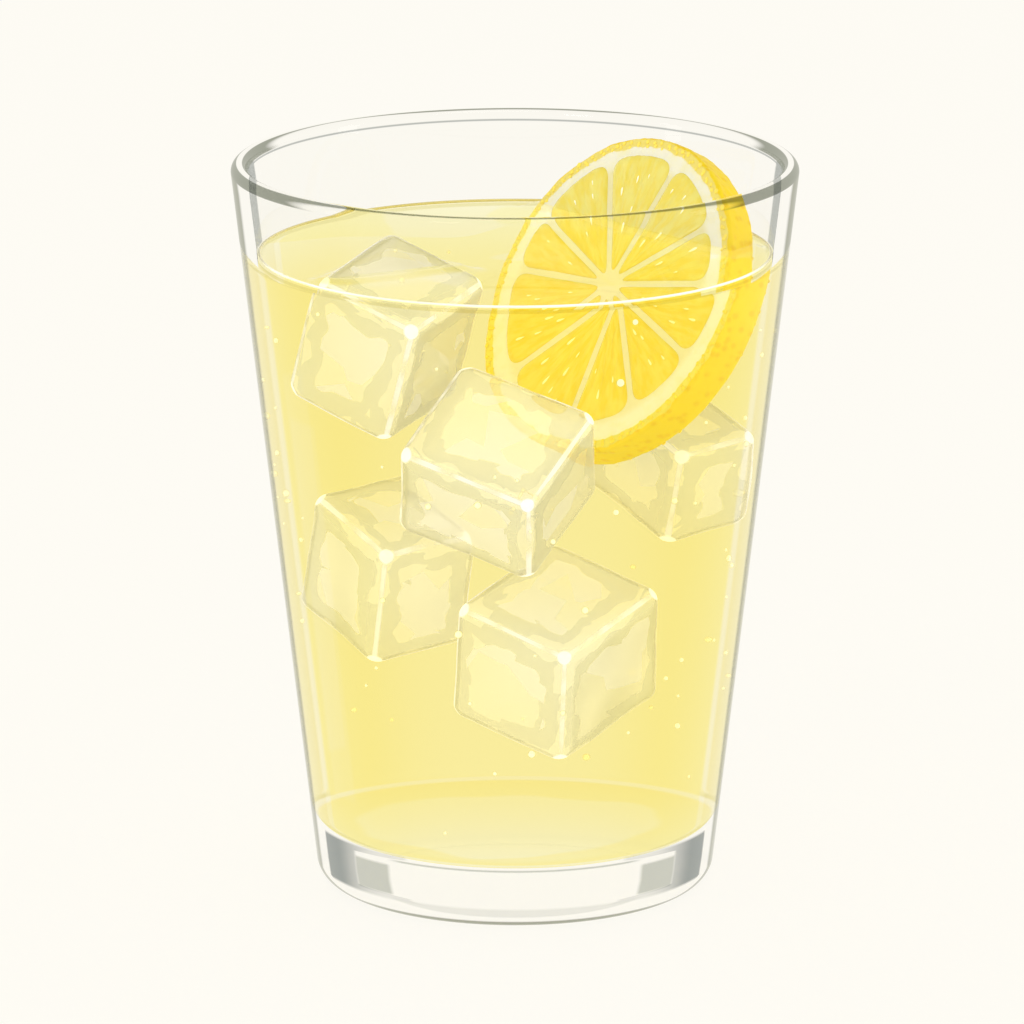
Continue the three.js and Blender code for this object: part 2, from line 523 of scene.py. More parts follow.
glassTints = makeGlassTintAndPaintedLight(glassSizes, glassFinish)
glassTumbler = makeGlass(
    glassSizes,
    makeGlassMaterial(glassFinish, "dryGlass", glassFinish["dryIor"], glassTints),
    makeGlassMaterial(glassFinish, "wetGlass", glassFinish["wetIor"], glassTints),
    makeGlassMaterial(glassFinish, "innerGlass", glassFinish["innerIor"], None))
finishPiece(glassTumbler, ["glass"])


# Lemon wheel: its own frame has X level, Y up its face and Z out of the shown face

lemonSizes = dict(
    radius=0.0264,
    thickness=0.0058,
    centre=(0.0166, 0.0149, 0.0919),
    axis=(-0.685, -0.565, 0.46),
    peelRound=0.0007,
    flesh=0.0221,
    fleshRise=0.00035,
    fleshRings=22,
    fleshSink=0.0008,      # how far the flesh reaches into the pith
    hub=(-0.0003, 0.0011),
    membraneHalf=0.00042,
    corner=0.003,
    tip=0.0022,
    membranes=(-176.9, -133.4, -86.9, -52.8, -20.7, 10.3, 37.3, 75.9, 116.9, 158.0),
    seed=7,
)
sacSizes = dict(ringStart=0.004, ringEnd=0.0235, ringStep=0.0044, apart=0.0026, stray=0.0012,
                length=0.0056, width=0.0014, crease=0.55, height=0.00014)
peelFinish = dict(
    uneven=0.0012,         # of the edges between the colours
    membrane=screenColour(249, 240, 190),
    pith=screenColour(254, 251, 232),
    pithDeep=screenColour(254, 248, 212),
    zest=screenColour(249, 230, 124),
    skin=screenColour(252, 219, 30),
    pore=screenColour(247, 206, 18),
    # painted light, a glow for the sunk pith and skin
    pithGlow=(0.0, 0.05, 0.24, 1.0),
    skinGlow=(0.0, 0.07, 0.03, 1.0),
    pithFrom=(0.0205, 0.0222),
    zestFrom=(0.0243, 0.0246),
    skinFrom=(0.0256, 0.0259),
    skinGlowFrom=(0.0240, 0.0246),
)
lemonScatter = (1.0, 0.9, 0.5)          # how far each colour of light runs under the lemon's surface


def frameOf(centre, *axes):
    return Matrix.Translation(Vector(centre)) @ Matrix(axes).transposed().to_4x4()


def wheelFrame(sizes):
    facing = Vector(sizes["axis"]).normalized()
    level = Vector((-facing.y, facing.x, 0)).normalized()
    return frameOf(sizes["centre"], level, facing.cross(level), facing)


lemonFrame = wheelFrame(lemonSizes)


def placed(points, placement):
    table = np.array(placement)
    return np.asarray(points) @ table[:3, :3].T + table[:3, 3]


# Place in the wheel's own frame, as a radius and an angle about its middle too
def makeWheelPolar():
    tree, given, result = newGroup(
        "wheelPolar", "ShaderNodeTree", dict(Place="Vector"),
        dict(Local="Vector", Radius="Float", Angle="Float", Height="Float"))
    local = addNode(tree, "ShaderNodeMapping", vector_type="TEXTURE", Vector=given["Place"],
                    Location=lemonFrame.translation, Rotation=lemonFrame.to_euler("XYZ"))
    x, y, z = splitVector(tree, local)
    linkInto(tree, result, Local=local, Radius=radialDistance(tree, x, y), Height=z,
             Angle=maths(tree, "ARCTAN2", y, x))
    return tree


wheelPolar = makeWheelPolar()


def makePeelMaterial(finish):
    material, tree, shader = newMaterial("lemonPeel")
    place = objectPlace(tree)
    polar = placeGroup(tree, wheelPolar, Place=place)
    core = placeGroup(tree, mottle, Place=polar["Local"], Scale=420.0, Detail=4.0, Low=0.45, High=0.70,
                      First=finish["pith"], Second=finish["pithDeep"])
    uneven = maths(tree, "MULTIPLY_ADD", core["Noise"], finish["uneven"], -finish["uneven"] / 2)
    share = partial(rangeShare, tree, finish, maths(tree, "ADD", polar["Radius"], uneven))
    inner = mixColours(tree, share("pithFrom"), finish["membrane"], core["Colour"])
    zest = mixColours(tree, share("zestFrom"), inner, finish["zest"])
    pores = addNode(tree, "ShaderNodeTexVoronoi", Scale=620.0, Vector=polar["Local"])
    poreMask = smoothBetween(tree, pores.outputs["Distance"], 0.42, 0.18)
    skin = mixColours(tree, poreMask, finish["skin"], finish["pore"])
    # Painted light: the sunk pith and skin glow a little, so that the pith stays pale under the drink
    sunk = sunkShare(tree, splitVector(tree, place)[2])
    glow = mixColours(tree, share("skinGlowFrom"), finish["pithGlow"], finish["skinGlow"])
    bump = addNode(tree, "ShaderNodeBump", Strength=0.25, Distance=0.0003, Height=poreMask)
    linkInto(tree, shader, Base_Color=mixColours(tree, share("skinFrom"), zest, skin),
             Emission_Color=mixColours(tree, sunk, black, glow), Emission_Strength=1.0, Roughness=0.5,
             Subsurface_Weight=0.15, Subsurface_Radius=lemonScatter, Subsurface_Scale=0.0015,
             Specular_IOR_Level=0.2, Coat_Weight=0.05, Coat_Roughness=0.25, Normal=bump)
    return material


def makeFleshMaterial():
    material, tree, shader = newMaterial("lemonFlesh")
    polar = placeGroup(tree, wheelPolar, Place=objectPlace(tree))
    # Stretched along the radius, so that the grain runs from the hub outwards
    streak = addNode(tree, "ShaderNodeCombineXYZ", times(tree, polar["Angle"], 9.0),
                     times(tree, polar["Radius"], 160.0), times(tree, polar["Height"], 120.0))
    grain = placeGroup(tree, mottle, Place=streak, Scale=1.6, Detail=4.0, Low=0.35, High=0.68,
                       First=screenColour(254, 228, 82), Second=screenColour(255, 238, 122))
    linkInto(tree, shader, Base_Color=grain["Colour"], Roughness=0.22, Subsurface_Weight=0.3,
             Subsurface_Radius=lemonScatter, Subsurface_Scale=0.002, Coat_Weight=0.6, Coat_Roughness=0.05)
    return material


def makePeel(sizes, material):
    half, bend = sizes["thickness"] / 2, sizes["peelRound"]
    rim = sizes["radius"] - bend
    lower = arcPoints(rim, -half + bend, bend, -90, 0, 6)
    upper = arcPoints(rim, half - bend, bend, 0, 90, 6)
    profile = [(0, -half)] + [(rim * i / 30, -half) for i in range(1, 30)]
    profile += lower + linePoints(lower[-1], upper[0], 14) + upper
    profile += [(rim * (1 - i / 30), half) for i in range(1, 30)] + [(0, half)]
    vertices, faces = turnProfile(profile, 360)
    # The skin is dimpled, and the cut edge is never quite true
    radii = np.hypot(vertices[:, 0], vertices[:, 1])
    for i in np.where(radii > sizes["radius"] - 0.0012)[0]:
        point = Vector(vertices[i])
        dimple = noise.noise(point * 900.0) * 0.00012 + noise.noise(point * 160.0) * 0.00022
        vertices[i, :2] *= 1 + (dimple - 0.0002) / radii[i]
    return makePiece("lemonPeel", placed(vertices, lemonFrame), faces, material)


def segmentOutline(sizes, fromDegrees, toDegrees):
    start, end = math.radians(fromDegrees), math.radians(toDegrees)
    middle, halfAngle = (start + end) / 2, (end - start) / 2
    thin, flesh, corner = sizes["membraneHalf"], sizes["flesh"], sizes["corner"]

    def towards(angle, distance):
        return np.array((math.cos(angle), math.sin(angle))) * distance

    tip = towards(middle, 1) * thin / math.sin(halfAngle)
    reach = math.sqrt(flesh ** 2 - thin ** 2) - thin / math.tan(halfAngle)

    def bend(first, middlePoint, last, steps):
        shares = [i / steps for i in range(1, steps)]
        return [first * (1 - s) ** 2 + middlePoint * 2 * s * (1 - s) + last * s * s for s in shares]

    arcStart, arcEnd = start + (thin + corner) / flesh, end - (thin + corner) / flesh
    arcSteps = max(6, int((arcEnd - arcStart) * flesh / 0.0005))
    sideEnd = tip + towards(end, reach - corner)
    points = [tip + towards(start, d) for d in np.linspace(sizes["tip"], reach - corner, 34)]
    points += bend(points[-1], tip + towards(start, reach), towards(arcStart, flesh), 10)
    points += [towards(a, flesh) for a in np.linspace(arcStart, arcEnd, arcSteps)]
    points += bend(points[-1], tip + towards(end, reach), sideEnd, 10)
    points += [tip + towards(end, d) for d in np.linspace(reach - corner, sizes["tip"], 34)]
    points += bend(points[-1], tip, points[0], 8)
    return np.array(points)


def segmentOutlines(sizes):
    membranes = sizes["membranes"]
    following = membranes[1:] + (membranes[0] + 360,)
    return [segmentOutline(sizes, *pair) for pair in zip(membranes, following)]


# Juice sacs: long teardrops that point at the hub, as a height over the segment
def sacHeights(points, outline, sacs, draw):
    def turnFrom(angles, middle):
        return (angles - middle + math.pi) % (2 * math.pi) - math.pi

    radii = np.hypot(points[:, 0], points[:, 1])
    angles = np.arctan2(points[:, 1], points[:, 0])
    middle = np.arctan2(*outline.mean(0)[::-1])
    spread = np.abs(turnFrom(np.arctan2(outline[:, 1], outline[:, 0]), middle))
    widest = spread[np.hypot(outline[:, 0], outline[:, 1]) > 0.008].max()
    seeds = []
    for ring in np.arange(sacs["ringStart"], sacs["ringEnd"], sacs["ringStep"]):
        count = max(1, round(2 * widest * ring / sacs["apart"]))
        for i in range(count):
            share = (i + 0.5 + draw.uniform(-0.3, 0.3)) / count * 2 - 1
            seeds.append((ring + draw.uniform(-sacs["stray"], sacs["stray"]), middle + share * widest))
    seeds = np.array(seeds)
    along = (radii[:, None] - seeds[None, :, 0]) / sacs["length"]
    turn = turnFrom(angles[:, None], seeds[None, :, 1])
    across = turn * np.maximum(radii[:, None], sacs["ringStart"]) / sacs["width"]
    distance = np.sort(np.hypot(along, across), 1)
    return np.sqrt(np.clip((distance[:, 1] - distance[:, 0]) / sacs["crease"], 0, 1)) * sacs["height"]


def makeFlesh(sizes, sacs, material):
    draw = np.random.default_rng(sizes["seed"])
    half, rings = sizes["thickness"] / 2, sizes["fleshRings"]
    shares = np.arange(rings) / rings
    vertices, faces = np.empty((0, 3)), []
    for outline in segmentOutlines(sizes):
        centre, count = outline.mean(0), len(outline)
        flat = np.concatenate([outline + (centre - outline) * s for s in shares] + [centre[None]])
        reach = np.hypot(*(outline - centre).T)
        fromEdge = np.append(np.outer(shares, reach), reach.mean())
        rise = sizes["fleshRise"] * (0.35 + 0.65 * np.clip(fromEdge / 0.0009, 0, 1) ** 0.5)
        low = np.concatenate([outline, centre[None]]) + sizes["hub"]
        hub, lowStart, last = rings * count, rings * count + 1, (rings - 1) * count
        own = ringFaces(rings, count)
        for j in range(count):
            k = (j + 1) % count
            own += [(last + j, last + k, hub), (j, lowStart + j, lowStart + k, k),
                    (lowStart + k, lowStart + j, lowStart + count)]
        for side in (1, -1):
            bumps = sacHeights(flat, outline, sacs, draw) * np.clip(fromEdge / 0.0012, 0, 1)
            top = np.column_stack([flat + sizes["hub"], half + rise - 0.00022 + bumps])
            under = np.column_stack([low, np.full(len(low), half - sizes["fleshSink"])])
            faces += [tuple(v + len(vertices) for v in f) for f in own]
            vertices = np.concatenate([vertices, np.concatenate([top, under]) * (1, 1, side)])
    return makePiece("lemonFlesh", placed(vertices, lemonFrame), faces, material)


finishPiece(makePeel(lemonSizes, makePeelMaterial(peelFinish)), ["lemon_slice"])
finishPiece(makeFlesh(lemonSizes, sacSizes, makeFleshMaterial()), ["lemon_slice"])


# Oil glands in the cut peel, in two staggered rings on each face
glandSizes = dict(
    count=92,
    fewerInside=11,
    outer=0.02535,
    inner=0.02475,
    size=0.00042,
    smallerInside=0.15,
    lift=0.00004,
    stray=0.00028,
    smallest=(0.7, 0.7, 0.22),
    largest=(1.15, 1.15, 0.3),
    seed=3,
)


def makeGlandTree(sizes):
    tree, given, result = newTree(
        "peelGlands", Count="Int", Radius="Float", Height="Float", Size="Float", Seed="Int",
        Finish="Material")
    ring = addNode(tree, "GeometryNodeMeshCircle", Vertices=given["Count"], Radius=given["Radius"])
    stray = sizes["stray"]
    jitter = addNode(tree, "FunctionNodeRandomValue", (-stray, -stray, 0), (stray, stray, 0),
                     data_type="FLOAT_VECTOR", Seed=given["Seed"])
    upwards = addNode(tree, "ShaderNodeCombineXYZ", Z=given["Height"])
    place = addNode(tree, "ShaderNodeVectorMath", jitter, upwards, operation="ADD")
    lift = addNode(tree, "GeometryNodeSetPosition", Geometry=ring, Offset=place)
    bead = addNode(tree, "GeometryNodeMeshUVSphere", Segments=8, Rings=5, Radius=given["Size"])
    scale = addNode(tree, "FunctionNodeRandomValue", sizes["smallest"], sizes["largest"],
                    data_type="FLOAT_VECTOR", Seed=given["Seed"])
    spread = addNode(tree, "GeometryNodeInstanceOnPoints", Points=lift, Instance=bead, Scale=scale)
    turned = addNode(tree, "GeometryNodeTransform", Geometry=spread, Rotation=(math.pi, 0, 0))
    both = addNode(tree, "GeometryNodeJoinGeometry", spread)
    feed(tree, both.inputs[0], turned)
    return endTree(tree, given, result, both)


def makeBeadMaterial(name, colour, roughness, coat, glow):
    material, tree, shader = newMaterial(name)
    darker = tuple(v * 0.92 for v in colour[:3]) + (1.0,)
    grain = placeGroup(tree, mottle, Place=objectPlace(tree), Scale=1500.0, Detail=2.0, Low=0.3, High=0.7,
                       First=darker, Second=colour)
    linkInto(tree, shader, Base_Color=grain["Colour"], Roughness=roughness, Coat_Weight=coat,
             Coat_Roughness=0.05, Emission_Color=colour, Emission_Strength=glow)
    return material


def makeGlands(sizes):
    tree = makeGlandTree(sizes)
    # A faint glow, painted light, keeps the glands from looking dark
    material = makeBeadMaterial("oilGlands", screenColour(252, 228, 92), 0.5, 0.1, 0.18)
    height = lemonSizes["thickness"] / 2 + sizes["lift"]
    rings = []
    for offset, radius in enumerate((sizes["outer"], sizes["inner"])):
        ring = addObject("ring", bpy.data.meshes.new("ring"))
        runTree(ring, tree, Count=sizes["count"] - sizes["fewerInside"] * offset, Radius=radius,
                Size=sizes["size"] * (1 - sizes["smallerInside"] * offset), Height=height,
                Seed=sizes["seed"] + offset, Finish=material)
        rings.append(ring)
    glands = joinPieces("peelGlands", rings, material)
    glands.data.transform(lemonFrame)
    return glands


finishPiece(makeGlands(glandSizes), ["lemon_slice"])


# Pale drops of juice that lie along the segments and point at the hub; pale and glowing, they are painted
# glints on the wet flesh
dropSizes = dict(
    shrink=0.66,           # they lie on a smaller outline of each segment
    outwards=1.12,         # with its middle moved away from the hub
    sink=0.00008,
    density=95000.0,
    apart=0.0021,
    length=0.00095,
    width=0.34,
    height=0.22,
    narrowing=0.36,        # towards the hub
    smallest=0.45,
    largest=1.1,
    seed=11,
)


def makeDropTree(sizes):
    tree, given, result = newTree(
        "juiceDrops", Density="Float", Apart="Float", Length="Float", Width="Float", Height="Float",
        Seed="Int", Finish="Material")
    points = addNode(tree, "GeometryNodeDistributePointsOnFaces", distribute_method="POISSON",
                     Mesh=given["Geometry"], Distance_Min=given["Apart"], Density_Max=given["Density"],
                     Seed=given["Seed"])
    x, y, z = splitVector(tree, addNode(tree, "GeometryNodeInputPosition"))
    turn = addNode(tree, "ShaderNodeCombineXYZ", Z=maths(tree, "ARCTAN2", y, x))
    ball = addNode(tree, "GeometryNodeMeshUVSphere", Segments=10, Rings=8, Radius=1.0)
    narrow = maths(tree, "MULTIPLY_ADD", x, sizes["narrowing"], 1 - sizes["narrowing"])
    shaped = addNode(tree, "ShaderNodeCombineXYZ", x, times(tree, y, narrow, given["Width"]),
                     times(tree, z, narrow, given["Height"]))
    drop = addNode(tree, "GeometryNodeSetPosition", Geometry=ball, Position=shaped)
    size = addNode(tree, "FunctionNodeRandomValue", None, None, sizes["smallest"], sizes["largest"],
                   Seed=given["Seed"])
    spread = addNode(tree, "GeometryNodeInstanceOnPoints", Points=points, Instance=drop, Rotation=turn,
                     Scale=times(tree, size.outputs[1], given["Length"]))
    return endTree(tree, given, result, spread)


def makeDrops(sizes):
    tree = makeDropTree(sizes)
    # Pale and glowing as painted highlights
    material = makeBeadMaterial("juiceDrops", screenColour(255, 250, 214), 0.2, 0.6, 0.3)
    height = lemonSizes["thickness"] / 2 + lemonSizes["fleshRise"] - sizes["sink"]
    vertices, polygons = [], []
    for outline in segmentOutlines(lemonSizes):
        middle = outline.mean(0) * sizes["outwards"]
        flat = middle + (outline - middle) * sizes["shrink"] + lemonSizes["hub"]
        polygons.append(range(len(vertices), len(vertices) + len(flat)))
        vertices += [(x, y, height) for x, y in flat]
    sides = []
    for side in (1, -1):
        carrier = makePiece("carrier", vertices, polygons, material)
        runTree(carrier, tree, Density=sizes["density"], Apart=sizes["apart"], Length=sizes["length"],
                Width=sizes["width"], Height=sizes["height"], Seed=sizes["seed"] + side, Finish=material)
        if side < 0:
            carrier.data.transform(Matrix.Scale(-1, 4, (0, 0, 1)))
            carrier.data.flip_normals()
        sides.append(carrier)
    drops = joinPieces("juiceDrops", sides, material)
    drops.data.transform(lemonFrame)
    return drops


finishPiece(makeDrops(dropSizes), ["lemon_slice"])


# Ice cubes in millimetres: middle, size, and the directions of the right edge and the upward edge

iceCubes = dict(
    iceCubeSurface=((-19.6, -13.9, 92.1), (22.0, 19.2, 22.4), (0.523, 0.829, 0.198), (0.203, -0.346, 0.916)),
    iceCubeFront=((-2.7, -17.6, 71.6), (22.0, 23.4, 20.3), (0.472, 0.674, 0.568), (0.0, -0.644, 0.765)),
    iceCubeLeft=((-18.3, 1.0, 51.7), (17.5, 19.8, 22.5), (0.847, 0.513, 0.139), (0.076, -0.376, 0.923)),
    iceCubeRight=((22.2, 13.6, 67.0), (14.0, 21.1, 18.6), (0.788, 0.602, 0.129), (0.142, -0.382, 0.913)),
    iceCubeLow=((6.1, -4.0, 39.1), (23.8, 21.5, 22.8), (0.609, 0.727, 0.318), (0.034, -0.425, 0.905)),
)
iceShape = dict(rounding=0.0026, roundSteps=6, flatSteps=16, melt=0.0002, meltSize=0.008, room=0.00003)
iceFinish = dict(
    ior=1.03,              # it bends what is behind it only a little
    milk=0.12,
    clear=(0.985, 0.965, 0.985, 1.0),
    # painted shade where the cube is seen edge on
    edge=(0.60, 0.57, 0.42, 1.0),
    edgeFrom=(0.46, 0.56),
    coatIor=1.4,
    shadowTint=(0.97, 0.97, 0.95, 1.0),
)


def makeIceMaterial(finish):
    material, tree, shader = newMaterial("wetIce")
    # Painted shade: an olive outline where the cube is seen edge on
    grazing = smoothBetween(tree, edgeOnShare(tree), *finish["edgeFrom"])
    linkInto(tree, shader, Roughness=0.0, IOR=finish["ior"], Transmission_Weight=1.0 - finish["milk"],
             Coat_Weight=1.0, Coat_Roughness=0.03, Coat_IOR=finish["coatIor"],
             Base_Color=mixColours(tree, grazing, finish["clear"], finish["edge"]))
    lightThrough(tree, shader, finish["shadowTint"])
    return material


def cubeFrame(spec):
    centre, _, rightEdge, upEdge = spec
    up = Vector(upEdge).normalized()
    back = up.cross(Vector(rightEdge)).normalized()
    return frameOf(Vector(centre) * 0.001, back.cross(up), back, up)


def cubeMesh(spec, shape, shrink=0.0):
    half = np.array(spec[1]) * 0.0005 - shrink
    rounding = shape["rounding"] - shrink
    bends = rounding * np.tan(np.radians(np.linspace(45, 0, shape["roundSteps"] + 1)))
    lines = []
    for reach in half:
        flat = np.linspace(rounding - reach, reach - rounding, shape["flatSteps"] + 1)
        bend = reach - rounding + bends[:-1]
        lines.append(np.concatenate([-bend, flat, bend[::-1]]))
    steps = len(lines[0]) - 1
    vertices, faces = [], []
    for axis in range(3):
        for side in (-1, 1):
            base = len(vertices)
            for u in lines[(axis + 1) % 3]:
                for v in lines[(axis + 2) % 3]:
                    point = np.empty(3)
                    point[axis], point[(axis + 1) % 3], point[(axis + 2) % 3] = side * half[axis], u, v
                    vertices.append(point)
            for i in range(steps):
                for j in range(steps):
                    a = base + i * (steps + 1) + j
                    faces.append((a, a + 1, a + steps + 2, a + steps + 1))
    points = np.array(vertices)
    core = np.clip(points, rounding - half, half - rounding)
    away = points - core
    normal = away / np.maximum(np.linalg.norm(away, axis=1)[:, None], 1e-9)
    points = core + normal * rounding
    for i, point in enumerate(points):
        wave = noise.noise(Vector(point) / shape["meltSize"] + Vector(spec[0]))
        points[i] += normal[i] * (wave - 0.35) * shape["melt"]
    return placed(points, cubeFrame(spec)), faces


# Frost and painted light: a thin see-through skin that clouds the faces, with painted highlights on edges and
# corners, painted shade along the borders and a painted glow
frostAndPaintedLightFinish = dict(
    lift=0.00006,
    # How strong the painted highlights on edges and corners are, then the cloud, the painted shade, the haze
    # and the painted glow
    edge=0.85,
    edgeLeast=0.25,
    corner=1.0,
    cloud=0.42,
    shade=0.38,
    haze=0.22,
    glow=0.35,
    white=screenColour(245, 241, 246),
    dryWhite=screenColour(244, 240, 220),
    shadow=screenColour(206, 201, 158),
    coolness=(0.02, 0.08, 0.40, 1.0),      # painted light, a glow that keeps it white behind the yellow drink
    wander=5.0,            # how unevenly the border of painted shade follows the edges
    angular=1.6,
    line=(1.25, 0.95),     # painted highlight lines, in millimetres from the nearest edge or corner, as are the next four
    blob=(2.7, 2.2),
    borderStart=(1.5, 1.7),
    borderEnd=(4.6, 4.3),
    cloudStart=(4.3, 4.6),
    cloudy=(0.50, 0.56),   # patches whose own draw from 0 to 1 is above this are clouded
)


def makeFrostAndPaintedLightMaterial(finish):
    material, tree, shader = newMaterial("iceFrost")
    place = objectPlace(tree)
    fromEdge, fromCorner = [addNode(tree, "ShaderNodeAttribute", attribute_name=label).outputs["Fac"]
                            for label in ("fromEdge", "fromCorner")]
    broad = placeGroup(tree, mottle, Place=place, Scale=190.0, Detail=1.0, Low=0.3, High=0.62,
                       First=black, Second=white)
    patches = addNode(tree, "ShaderNodeTexVoronoi", Scale=150.0, Vector=place)
    cell = addNode(tree, "ShaderNodeSeparateColor", patches.outputs["Color"]).outputs
    wander = maths(tree, "MULTIPLY_ADD", broad["Noise"], finish["wander"], -finish["wander"] / 2)
    angular = maths(tree, "MULTIPLY_ADD", cell[1], finish["angular"], -finish["angular"] / 2)
    distance = maths(tree, "ADD", fromEdge, maths(tree, "ADD", wander, angular))
    least = finish["edgeLeast"]
    share = partial(rangeShare, tree, finish)
    # Painted highlights along the edges and on the corners, painted shade along the borders, and cloud
    onEdge = times(tree, share(fromEdge, "line"),
                   maths(tree, "MULTIPLY_ADD", broad["Colour"], finish["edge"] - least, least))
    onCorner = times(tree, share(fromCorner, "blob"), finish["corner"])
    shade = times(tree, share(distance, "borderStart"), share(distance, "borderEnd"), finish["shade"])
    cloud = times(tree, share(cell[0], "cloudy"), finish["cloud"], share(distance, "cloudStart"))
    cover = finish["haze"]
    for part in (onEdge, onCorner, cloud):
        cover = maths(tree, "MAXIMUM", part, cover)
    ratio = smoothBetween(tree, maths(tree, "SUBTRACT", cover, shade), -0.05, 0.05)
    sunk = sunkShare(tree, splitVector(tree, place)[2])
    whites = mixColours(tree, sunk, finish["dryWhite"], finish["white"])
    # Frost is seen only from outside the cube, so that its far sides don't cloud the near ones
    outside = maths(tree, "SUBTRACT", 1.0, backOf(tree))
    # Painted light: corners and edges glow as glints, and the sunk skin glows cool so that it stays white
    glint = times(tree, maths(tree, "ADD", onCorner, times(tree, onEdge, 0.5)), finish["glow"])
    cool = mixColours(tree, sunk, black, finish["coolness"])
    linkInto(tree, shader, Base_Color=mixColours(tree, ratio, finish["shadow"], whites), Roughness=0.5,
             Alpha=times(tree, maths(tree, "MAXIMUM", cover, shade), outside),
             Emission_Color=mixColours(tree, glint, cool, finish["white"]), Emission_Strength=1.0)
    return material


def edgeDistances(points, spec):
    local = np.abs(placed(points, cubeFrame(spec).inverted()))
    gaps = np.sort(np.array(spec[1]) * 0.0005 - local, axis=1) * 1000
    return gaps[:, 1], np.hypot(gaps[:, 1], gaps[:, 2])


def makeFrostAndPaintedLight(name, spec, material):
    grown = (spec[0], tuple(v + frostAndPaintedLightFinish["lift"] * 2000 for v in spec[1]), spec[2], spec[3])
    frost = makePiece(name, *cubeMesh(grown, iceShape), material)
    points = np.array([v.co for v in frost.data.vertices])
    for label, values in zip(("fromEdge", "fromCorner"), edgeDistances(points, spec)):
        attribute = frost.data.attributes.new(label, "FLOAT", "POINT")
        attribute.data.foreach_set("value", values.astype(np.float32))
    return frost


iceMaterial = makeIceMaterial(iceFinish)
frostAndPaintedLightMaterial = makeFrostAndPaintedLightMaterial(frostAndPaintedLightFinish)
for name, spec in iceCubes.items():
    nodes = ["ice_cube_1"] if name == "iceCubeSurface" else []
    finishPiece(makePiece(name, *cubeMesh(spec, iceShape), iceMaterial), nodes)
    finishPiece(makeFrostAndPaintedLight(name.replace("iceCube", "frost"), spec, frostAndPaintedLightMaterial), nodes)


# Lemonade

drinkFinish = dict(
    ior=1.001,             # the wet side of the glass bends the light already
    coatIor=1.33,
    coatLeast=0.2,
    absorb=(0.9995, 0.9365, 0.538, 1.0),
    density=20.0,
    shadowTint=(1.0, 0.99, 0.86, 1.0),
    wallTint=(1.0, 0.988, 0.72, 1.0),
    sideTint=(0.998, 0.940, 0.47, 1.0),     # where the drink is thin at the sides
    stripTint=(0.955, 0.900, 0.56, 1.0),    # painted shade where its side is seen edge on
    lineTint=(0.995, 0.975, 0.80, 1.0),     # painted highlight, a pale line beside it and the window reflection on the left
    surfaceTint=(0.995, 0.955, 0.50, 1.0),
    # painted reflection in pale patches on the surface
    palerTint=(0.998, 0.975, 0.72, 1.0),
    # painted shade under the surface at the wall and in the floor's corner
    outline=(0.80, 0.74, 0.33, 1.0),
    floorTint=(0.99, 0.955, 0.66, 1.0),
    floorEdge=(0.985, 0.91, 0.42, 1.0),
    windowShare=0.35,
    floorUneven=0.012,
    ranges=dict(           # places in metres, facing from 0 to 1 at the edge
        atSurface=(-0.0002, -0.0001),       # from drinkLevel, as are the next two
        raised=(0.0001, 0.0004),
        underLine=(-0.0008, -0.0006),
        atWall=(-0.0004, -0.0002),          # from the glass's inner wall
        sideways=(0.0, 0.33),
        windowLeft=(-0.002, -0.004),
        windowHeight=(0.01725, 0.07925, 0.00075),
        windowFacing=(0.4075, 0.5375, 0.0075),
        lineFacing=(0.575, 0.595),
        stripFacing=(0.625, 0.645),
        atFloor=(0.0016, 0.0010),           # from the glass's floor, as is onFloor
        floorFacing=(0.50, 0.60),
        onFloor=(0.0004, 0.0001),
        floorRing=(0.0205, 0.0225),
    ),
)
drinkSizes = dict(
    intoWall=0.00005,
    wallRise=0.0003,
    wallReach=0.0011,
    lemonRise=0.0011,
    iceRise=0.0009,
    pieceReach=0.0012,
    around=240,
)


